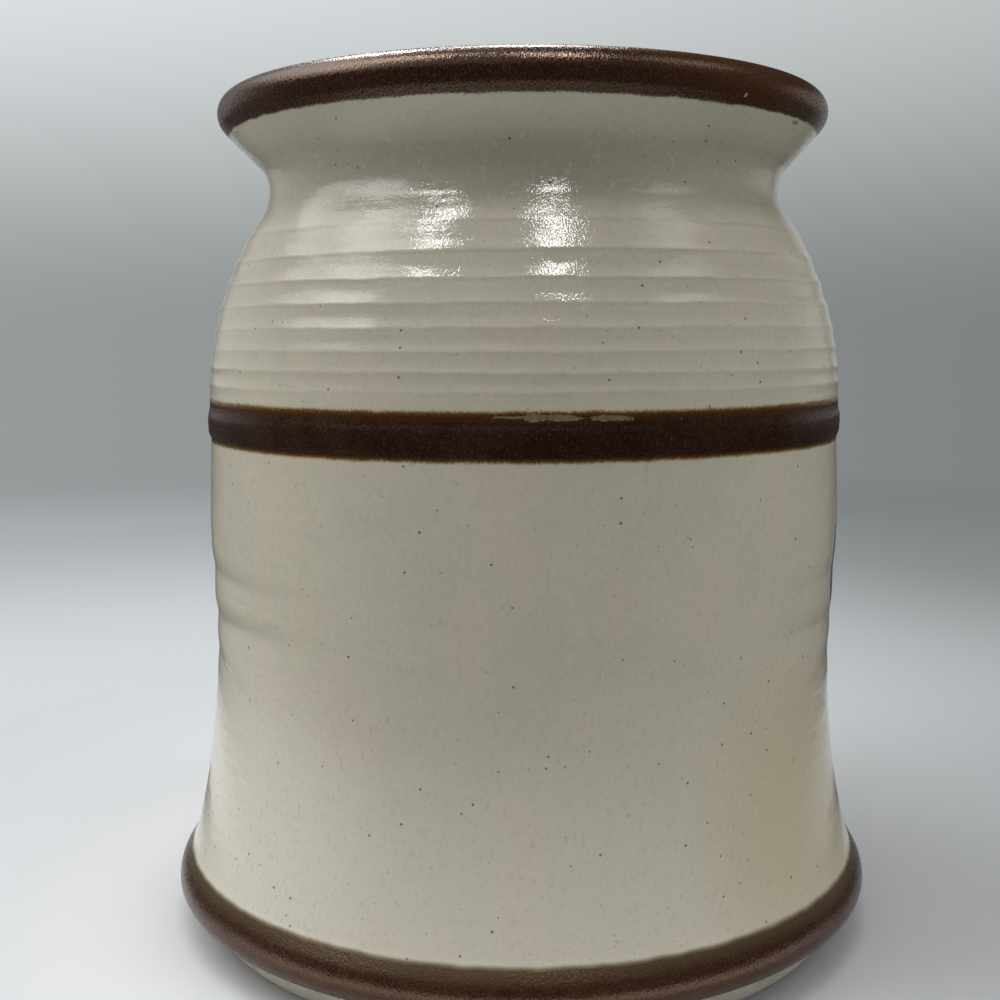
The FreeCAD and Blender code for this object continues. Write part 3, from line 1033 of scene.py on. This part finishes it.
def cream_colour(wire):
    """Colour of the cream glaze anywhere on the pot. Each mask is times the share of its tone."""
    height, shading = mark(wire, "level"), mark(wire, "painted_shading")
    blotches = grain(wire, 11 * mm, 2, (1, 1, 0.5))
    mottle = grain(wire, 0.9 * mm, 3, (1, 1, 0.7))
    scratches = grain(wire, 1.1 * mm, 2, (1, 1, 0.1))
    ground = grain(wire, 30 * mm, 2).smooth(0.35, 0.65).mix(cream_grey, cream)
    return layered(ground, [
        (blotches.smooth(0.48, 0.7) * 0.7, cream_pink),
        # Painted light towards the foot, and painted shade in the neck and the throat under the lip
        (height.smooth(75, 16) * 0.8, lit_low_cream),
        (height.smooth(148, 166) * 0.6, neck_shade),
        (height.smooth(150, 157) * height.smooth(171, 161) * 0.9, throat_shade),
        # Painted light at the lower left
        (spot_at(wire, *left_light_place) * 0.7, left_lit_cream),
        (spot_at(wire, *honey_place) * 0.8, cream_honey),
        # Painted shade where the mesh's mark is above 0, painted light where it is below 0; the mottle reuses
        # both tones
        (shading * 0.85, mottle_and_shade),
        (shading * -2.2, mottle_and_light),
        (mottle.smooth(0.5, 0.8) * 0.4, mottle_and_shade),
        (mottle.smooth(0.5, 0.2) * 0.4, mottle_and_light),
        (specks(wire, 2.6 * mm, 0.34 * mm, 0.8) * 0.2, iron),
        (specks(wire, 3.3 * mm, 0.29 * mm, 0.8) * 0.8, iron),
        (scratches.smooth(0.70, 0.78) * 0.10, iron),
    ])


print("Cream is", [round(share / cream[0], 2) for share in cream[:3]], "of its red")

# %% [markdown]
# The glaze is glossy, but its skin is waved and grained like orange peel, which breaks bright reflections
# into glittering dots. Most of the grain is finer than a millimetre and too small for the mesh, so it is a
# bump in the finish. Under the lip at the right, a smear of rust was left on the cream.

# %% Cream glaze
rust_smear = opaque(0.200, 0.080, 0.050)
smear_place = (57.5, 170.9, 2.4, 0.5)
skin_depth = 1.0 * mm


def cream_skin(wire):
    """Height of the skin in shares of a millimetre: slow waves under a fine orange peel."""
    waves = grain(wire, 9 * mm, 1, (1, 1, 1.8)) * 0.20 + grain(wire, 4 * mm, 2, (1, 1, 2.2)) * 0.05
    peel = grain(wire, 1.6 * mm, 1) * 0.014 + grain(wire, 0.55 * mm, 1) * 0.024
    return waves + (peel + grain(wire, 0.32 * mm, 0) * 0.028)


cream_glaze, wire = start_finish("cream_glaze")
smear = (spot_at(wire, *smear_place) + (grain(wire, 0.6 * mm, 2) - 0.5) * 1.6).smooth(0.5, 0.8)
colour = (smear * 0.7).mix(cream_colour(wire), rust_smear)
colour = soak(wire, iron_depth(wire), colour)
cream_gloss = 0.05 + grain(wire, 4 * mm, 2) * 0.07
dress(wire, colour, cream_gloss, cream_skin(wire), skin_depth)
wear(cream_glaze, cream_shoulder, cream_belly)

# %% [markdown]
# ## Liner glaze
# The inside was filled and poured out, so its glaze is a little thicker and calmer than the outside, and
# it is slightly darker towards the corner of the floor. It borrows the cream colour and its skin, and the
# brown of the lip soaks into its upper edge.

# %% Liner glaze
liner_dark = opaque(0.380, 0.355, 0.268)
calm_skin = 0.6 * skin_depth
liner_glaze, wire = start_finish("liner_glaze")
# Darker towards the corner of the floor inside
towards_floor = mark(wire, "level").smooth(26, 9) * 0.6
colour = towards_floor.mix(cream_colour(wire), liner_dark)
colour = soak(wire, iron_depth(wire, ("rim",)), colour)
liner_gloss = 0.10 + grain(wire, 4 * mm, 2) * 0.08
dress(wire, colour, liner_gloss, cream_skin(wire), calm_skin)
wear(liner_glaze, cream_liner)

# %% [markdown]
# ## Brown iron glaze
# Iron glaze is almost black where it is thick and breaks to rust and amber where it is thin, along its
# edges. Its satin skin is full of tiny crystals, which warm the light that it mirrors. A coat of metal would
# be too much: an index of refraction chosen for each coat and a warm tint on the reflection do it, with the
# crystals as fine grain in colour and bump. The three coats differ in how they break.

# %% What the brown coats share
brown = opaque(0.012, 0.0028, 0.0012)
brown_olive = opaque(0.018, 0.0085, 0.0040)
brown_red = opaque(0.062, 0.0215, 0.0095)
rust = opaque(0.075, 0.0250, 0.0050)
crystal = opaque(0.130, 0.0720, 0.0540)
iron_tint = opaque(1.0, 0.70, 0.52)
crystal_depth = 0.095 * mm


def iron_colour(wire, depth, edge_width, redness, sparkle, under=cream):
    """Colour of a brown coat, from cream at its soaked edge, over an edge tone, to dark brown."""
    crystals = grain(wire, 0.30 * mm, 1, (1, 1, 0.5)).smooth(0.52, 0.72)
    ground = grain(wire, 14 * mm, 2).smooth(0.4, 0.6).mix(brown, brown_olive)
    layers = [(grain(wire, 2.5 * mm, 3) * redness, brown_red), (crystals * sparkle, crystal)]
    return depth.smooth(0.1, edge_width).mix(soak(wire, depth, under), layered(ground, layers))


def iron_finish(wire, colour, dryness, index):
    """Give a brown coat its crystal skin, its satin gloss and the warm reflection of iron glaze."""
    skin = grain(wire, 1.6 * mm, 1) * 0.15 + grain(wire, 0.32 * mm, 1, (1, 1, 0.5)) * 0.85
    gloss = 0.12 + grain(wire, 0.36 * mm, 1).smooth(0.35, 0.65) * 0.20
    dress(wire, colour, gloss + dryness, skin, crystal_depth, {"IOR": index, "Specular Tint": iron_tint})


print("Crystals stand up to", round(crystal_depth / mm, 3), "mm out of the brown")

# %% [markdown]
# The bead breaks slowly, over a wide olive edge. The rim stays dark almost up to its edge, turns rusty at
# the right, and has one small pit there, where the glaze drew back from the clay.

# %% Brown glaze of the bead and the rim
pit_colour = opaque(0.34, 0.24, 0.15)
pit_place = (38.3, 173.1, 0.5, 0.45)
rust_place = (48, 179, 42, 9)
bead_brown, wire = start_finish("brown_bead_glaze")
depth = iron_depth(wire, ("bead",))
colour = iron_colour(wire, depth, edge_width=3.2, redness=1.0, sparkle=0.25, under=lit_low_cream)
iron_finish(wire, colour, dryness=0.0, index=1.55)
wear(bead_brown, brown_bead)
rim_brown, wire = start_finish("brown_rim_glaze")
depth = iron_depth(wire, ("rim",))
pit = spot_at(wire, *pit_place).smooth(0.2, 0.5)
colour = iron_colour(wire, depth, edge_width=0.4, redness=0.6, sparkle=0.4)
colour = layered(colour, [(spot_at(wire, *rust_place) * 0.6, rust), (pit, pit_colour)])
iron_finish(wire, colour, dryness=0.0, index=1.75)
wear(rim_brown, brown_rim)

# %% [markdown]
# The band has the same glaze over a rusty ledge, where the coat is thin, and its flaked strip shows tan
# clay. The mesh keeps the strip as a soft mask, and noise in the finish makes its outline ragged.

# %% Brown glaze of the band
tan_clay = opaque(0.195, 0.130, 0.082)
tan_dark = opaque(0.130, 0.080, 0.048)
satin, dry_clay = 0.06, 0.45
band_brown, wire = start_finish("brown_band_glaze")
depth = iron_depth(wire, ("band",))
from_top = band_top / mm - mark(wire, "level") + (grain(wire, 3 * mm, 3) - 0.5) * 1.2
colour = iron_colour(wire, depth, edge_width=1.0, redness=0.30, sparkle=0.25)
colour = (from_top.smooth(2.4, 0.8) * 0.65).mix(colour, rust)
colour = depth.smooth(0.1, 0.7).mix(soak(wire, depth, cream), colour)
bare = (mark(wire, "flaked") + (grain(wire, 0.45 * mm, 3, (0.35, 0.35, 1)) - 0.5) * 2.3).smooth(0.5, 0.6)
strip = grain(wire, 0.8 * mm, 3).smooth(0.4, 0.7).mix(tan_clay, tan_dark)
iron_finish(wire, bare.mix(colour, strip), dryness=satin + bare * dry_clay, index=1.45)
wear(band_brown, brown_band)

# %% [markdown]
# ## Bare clay
# The fired stoneware is pale buff, dry and finely gritty, with a few dark grains of iron and a warmer
# blush next to the glaze, where the kiln's flame met its edge.

# %% Bare stoneware
buff = opaque(0.520, 0.475, 0.400)
buff_dark = opaque(0.450, 0.400, 0.325)
blush = opaque(0.480, 0.395, 0.300)
grit_depth = 0.09 * mm
bare_stoneware, wire = start_finish("bare_stoneware")
near_glaze = mark(wire, "level").smooth(3.6, 5.8)
colour = grain(wire, 6 * mm, 4).smooth(0.35, 0.7).mix(buff, buff_dark)
colour = layered(colour, [(near_glaze * 0.6, blush), (specks(wire, 1.9 * mm, 0.22 * mm, 0.6) * 0.7, iron)])
dry = 0.78 + grain(wire, 1 * mm, 2) * 0.16
grit = grain(wire, 0.35 * mm, 3) * 0.7 + specks(wire, 1.3 * mm, 0.3 * mm, 0.8) * 0.3
dress(wire, colour, dry, grit, grit_depth)
wear(bare_stoneware, clay_vessel)

# %% [markdown]
# ## Blue brushwork
# The blue is a dusty cobalt under the gloss. A brush leaves it streaky along the stroke, thin in places,
# and soft at its edges where it soaks into the cream. The mesh keeps how far along and across the stroke
# each point lies, so the streaks follow the hand.

# %% Cobalt brush strokes
cobalt = opaque(0.040, 0.050, 0.110)
cobalt_thin = opaque(0.120, 0.140, 0.225)
blue_brushwork, wire = start_finish("blue_brushwork")
along, across, stroke = mark(wire, "along"), mark(wire, "across"), mark(wire, "stroke")
hair_place = wire.node("ShaderNodeCombineXYZ", None, {0: along * 0.05, 1: across * 4.0, 2: stroke * 37.0})
hairs = wire.node("ShaderNodeTexNoise", None, {"Vector": hair_place, "Scale": 2.2, "Detail": 4.0})
loaded = (hairs + (grain(wire, 3 * mm, 2) - 0.5) * 0.8).smooth(0.30, 0.72)
soaked = (abs(across) + (grain(wire, 0.9 * mm, 3) - 0.5) * 0.35).smooth(0.80, 0.98)
flecks = specks(wire, 3.7 * mm, 0.24 * mm, 0.7) * 0.6
colour = layered(loaded.mix(cobalt, cobalt_thin), [(flecks, iron), (soaked, cream_colour(wire))])
blue_gloss = 0.12 + grain(wire, 4 * mm, 2) * 0.10
dress(wire, colour, blue_gloss, cream_skin(wire), skin_depth)
wear(blue_brushwork, vine_stems, vine_leaves, vine_berries)

# %% [markdown]
# ## Floor
# The crock stands on a pale table. The floor is one large disc, paler near the pot, that painted shade turns
# to a quiet grey with distance before it fades out, so that no line shows where it ends. Its right side lies
# in the soft shade of the pot, and that shade is painted too. A plain white plane would do, but then all of
# the shade would have to come from the lamps.

# %% Pale floor
floor_radius = 2.5
floor_gap = 0.1 * mm
floor_ring = [(floor_radius * math.sin(t), -floor_radius * math.cos(t), -floor_gap) for t in theta[::5]]
floor_mesh = bpy.data.meshes.new("table_floor")
floor_mesh.from_pydata(floor_ring, [], [list(range(len(floor_ring)))])
floor = bpy.data.objects.new("table_floor", floor_mesh)
bpy.context.scene.collection.objects.link(floor)
print("The floor lies", floor_gap / mm, "mm under the foot")

# %% [markdown]
# The finish of the floor is matt, because a glossy table would mirror the pot. It is a pale tone with
# painted shade laid over it by the distance from the pot and by the side, down to a thin painted contact
# shadow where the foot stands, and with painted light close to the pot at the left.

# %% Finish of the floor
near_pale = opaque(0.775, 0.790, 0.812)
pale = opaque(0.680, 0.710, 0.730)
far_grey = opaque(0.460, 0.487, 0.500)
dim = opaque(0.410, 0.420, 0.424)
far_dim = opaque(0.285, 0.305, 0.308)
close_white = opaque(0.940, 0.945, 0.950)
shade_grey = opaque(0.210, 0.216, 0.217)
shadow_grey = opaque(0.160, 0.162, 0.165)
pale_floor, wire = start_finish("pale_floor")
spot = here(wire)
distance = wire.node("ShaderNodeVectorMath", {"operation": "LENGTH"}, {0: spot}, output="Value")
rightward, forward = spot.part(0), spot.part(1)
# Where each patch of painted shade and painted light starts and where it is full, in metres, times its share
right_side = rightward.smooth(-0.02, 0.24) * 0.75
far_right = rightward.smooth(0.0, 0.3) * distance.smooth(0.25, 0.5) * 0.8
beside_pot = rightward.smooth(0.02, 0.10) * distance.smooth(0.21, 0.10) * 0.22
lit_side = rightward.smooth(0.02, -0.04) * distance.smooth(0.125, 0.090) * 0.45
contact_shadow = distance.smooth(0.081, 0.072) * 0.6
before_pot = forward.smooth(-0.16, -0.42) * 0.85
tone = layered(distance.smooth(0.12, 0.22).mix(near_pale, pale), [
    (distance.smooth(0.20, 0.62), far_grey),
    (right_side, dim),
    (far_right, far_dim),
    (beside_pot, shade_grey),
    (lit_side, close_white),
    (contact_shadow, shade_grey),
    (before_pot, shadow_grey),
])
matt = {"Alpha": distance.smooth(1.00, 0.62), "Specular IOR Level": 0.0}
dress(wire, tone, 0.55 + grain(wire, 20 * mm) * 0.1, grain(wire, 2 * mm), 0.01 * mm, matt)
wear(pale_floor, floor)

# %% [markdown]
# ## Backdrop
# The world carries on with the floor's grey and grows paler upward, a little brighter at the left. A wall
# behind the pot could hold this, but it would catch shadows. So the world shows the backdrop to the camera
# and to reflections, and gives everything else an even soft light.

# %% Backdrop and even light from the world
horizon_grey, haze, high_shade = 0.28, 0.41, 0.38
left_glow, corner_shade = 0.5, 0.85
backdrop_tint = (0.93, 0.99, 1.0)
ambient_tint, ambient_level = opaque(0.96, 0.99, 1.0), 0.36
world = bpy.data.worlds.new("studio")
bpy.context.scene.world = world
world.use_nodes = True
sky = Wire(world.node_tree)
look = sky.node("ShaderNodeTexCoord", output="Generated")
sideways, upward = look.part(0), look.part(2)
shade = horizon_grey + upward.smooth(0.0, 0.28) * haze - upward.smooth(0.30, 0.50) * high_shade
upper_right = upward.smooth(0.28, 0.45) * sideways.smooth(-0.15, 0.30)
shade = shade * (1 - sideways * left_glow) * (1 - upper_right * corner_shade)
channels = {number: shade * share for number, share in enumerate(backdrop_tint)}
cool_grey = sky.node("ShaderNodeCombineColor", None, channels)
backdrop = sky.node("ShaderNodeBackground", None, {"Color": cool_grey, "Strength": 1.0})
ambient = sky.node("ShaderNodeBackground", None, {"Color": ambient_tint, "Strength": ambient_level})
kinds = ("Is Camera Ray", "Is Glossy Ray", "Is Transmission Ray")
rays = [sky.node("ShaderNodeLightPath", output=kind) for kind in kinds]
seen = sky.math("MAXIMUM", sky.math("MAXIMUM", rays[0], rays[1]), rays[2])
both = sky.node("ShaderNodeMixShader", None, {0: seen, 1: ambient, 2: backdrop})
sky.feed(world.node_tree.nodes["World Output"], {"Surface": both})
print("World has", len(world.node_tree.nodes), "nodes")

# %% [markdown]
# ## Lamps
# A large soft window stands at the left, and a weaker one at the right and a skylight above only fill the
# shade: reflections don't see them. Two small panels overhead do the opposite. They are seen in reflections
# alone and make the paired glints on the shoulder, and two more panels behind draw the streaks on the lip.
# Small panes beside the windows add soft sheen. Each lamp has a level: the brightness that it alone would
# give a white card facing it, so lamps of any size can be compared.

# %% Lamps
aim = np.array([0, 0, 0.11])
lamp_distance = 1.0


def lamp(name, direction, width, height, level, glint_only=False, fill_only=False):
    """A soft rectangular lamp in a direction from the crock, at a level of brightness."""
    light = bpy.data.lights.new(name, "AREA")
    light.shape = "RECTANGLE"
    light.size = width
    light.size_y = height
    light.energy = level * math.pi**2 * lamp_distance**2
    holder = bpy.data.objects.new(name, light)
    away = np.array(direction) / np.linalg.norm(direction)
    holder.location = aim + lamp_distance * away
    holder.rotation_euler = Vector(away).to_track_quat("Z", "Y").to_euler()
    holder.visible_camera = False
    holder.visible_diffuse = not glint_only
    holder.visible_glossy = not fill_only
    bpy.context.scene.collection.objects.link(holder)
    print(name, "gives", round(light.energy, 2), "W")


lamp("panel_left", (-0.414, -0.354, 0.839), 0.10, 0.30, 0.19, glint_only=True)
lamp("panel_right", (0.135, -0.515, 0.846), 0.12, 0.36, 0.27, glint_only=True)
lamp("window_left", (-0.830, 0.072, 0.550), 1.10, 1.10, 0.62)
lamp("window_right", (0.820, -0.270, 0.500), 0.90, 0.90, 0.28, fill_only=True)
lamp("pane_left", (-0.690, -0.180, 0.700), 0.36, 0.40, 0.125)
lamp("pane_right", (0.660, -0.200, 0.710), 0.30, 0.36, 0.05)
lamp("skylight", (-0.080, -0.020, 0.997), 0.70, 0.60, 0.24, fill_only=True)
lamp("panel_behind_left", (-0.294, 0.486, 0.823), 0.16, 0.12, 0.28, glint_only=True)
lamp("panel_behind", (0.012, 0.520, 0.854), 0.22, 0.18, 0.28, glint_only=True)

# %% [markdown]
# ## Dark surround
# A glossy pot mirrors the whole room. A cloth wall all round it, seen by reflections alone, keeps the brown
# glaze deep, as a studio's black flag does. It is dark in front and pale behind, with two dark seams there
# that draw dim lines between the bright parts of the glaze. Lowering the lamps would dull the cream too.

# %% Cloth of the surround
cloth_tones = (0.015, 0.08, 0.50, 0.55)
dark_cloth, low_cloth, grey_cloth, pale_cloth = [opaque(tone, tone, tone) for tone in cloth_tones]
seam_headings = (-29, 40)
seam_soft, seam_dark = 4.0, 2.0
weave_depth = 0.1 * mm
black_cloth, wire = start_finish("black_cloth")
weave = grain(wire, 5 * mm)
spot = here(wire)
across, behind, rise = [spot.part(axis) for axis in range(3)]
heading = wire.math("ARCTAN2", across, behind) * degrees
seams = [abs(heading - seam).smooth(seam_soft, seam_dark) for seam in seam_headings]
upper = across.smooth(0.02, 0.30).mix(grey_cloth, dark_cloth)
cloth = rise.smooth(0.08, 0.13).mix(low_cloth, pale_cloth)
cloth = rise.smooth(0.32, 0.45).mix(cloth, upper)
cloth = behind.smooth(0.0, 0.5).mix(dark_cloth, cloth)
cloth = (seams[0] + seams[1]).mix(cloth, dark_cloth)
dress(wire, cloth, 0.9 + weave * 0.1, weave, weave_depth)
print("The cloth has", len(black_cloth.node_tree.nodes), "nodes")

# %% [markdown]
# The cloth lies on the table from near the pot out to its wall, and the wall is taller behind. It is three
# rings of points, so the helper that made the coats can make it too.

# %% Dark surround
cloth_reach, cloth_lift = 0.80, 0.5 * mm
cloth_front, cloth_side = 0.115, 0.180
front_height, back_height = 0.45, 0.80


def seen_in_gloss(piece):
    """Let only reflections see a piece of the studio."""
    piece.visible_camera = False
    piece.visible_diffuse = False
    piece.visible_shadow = False
    piece.visible_transmission = False


def ring_at(reach, high, headings):
    """Points of a ring round the pot. A heading runs from the back towards +X."""
    return np.column_stack([reach * np.sin(headings), reach * np.cos(headings), high + 0 * headings])


headings = np.radians(np.arange(0, 360, 10))
inner = cloth_front + (cloth_side - cloth_front) * (1 + np.cos(headings))
wall_height = front_height + (back_height - front_height) * np.clip(np.cos(headings), 0, 1)
rings = [(inner, cloth_lift), (cloth_reach, cloth_lift), (cloth_reach, wall_height)]
corners = np.stack([ring_at(reach, high, headings) for reach, high in rings])
surround = grid_mesh("dark_surround", corners, {}, looped=False)
seen_in_gloss(surround)
wear(black_cloth, surround)

# %% [markdown]
# ## Bright card
# A white card stands in front of the foot and gives the bead its long soft streak. It is a low ring that
# glows only towards the front, and again only reflections see it. A lamp so low would light the table.

# %% Bright card round the foot
card_reach, card_low, card_high = 0.104, 4.0 * mm, 13.0 * mm
card_strength = 1.4
unlit, lit = opaque(0.02, 0.02, 0.02), opaque(1.0, 1.0, 1.0)
card_corners = np.stack([ring_at(card_reach, high, math.pi - theta) for high in (card_low, card_high)])
card = grid_mesh("bounce_card", card_corners, {}, looped=False)
seen_in_gloss(card)
white_card, wire = start_finish("white_card")
glow = here(wire).part(1).smooth(-0.01, -0.095).mix(unlit, lit)
lamp_sockets = {"Emission Color": glow, "Emission Strength": card_strength}
dress(wire, glow, 0.9 + grain(wire, 5 * mm) * 0.1, grain(wire, 5 * mm), weave_depth, lamp_sockets)
wear(white_card, card)

# %% [markdown]
# ## Camera
# The camera stands a little above the shoulder, a forearm's length away, and looks slightly down. Its lens
# and place were found by matching the rim, the band and the bead with circles of known size.

# %% Camera
look_down = 7.269
camera_data = bpy.data.cameras.new("photo_camera")
camera_data.lens = 47.41
camera_data.sensor_width = 36.0
camera = bpy.data.objects.new("photo_camera", camera_data)
camera.location = (-4.79 * mm, -300.48 * mm, 130.0 * mm)
camera.rotation_euler = (math.radians(90 - look_down), 0, 0)
bpy.context.scene.collection.objects.link(camera)
bpy.context.scene.camera = camera
bpy.context.scene.view_settings.view_transform = "Standard"
print("The camera has a lens of", round(camera_data.lens, 2), "mm")

# %% [markdown]
# ## End
# The dressed crock should fill the same box as the solids.
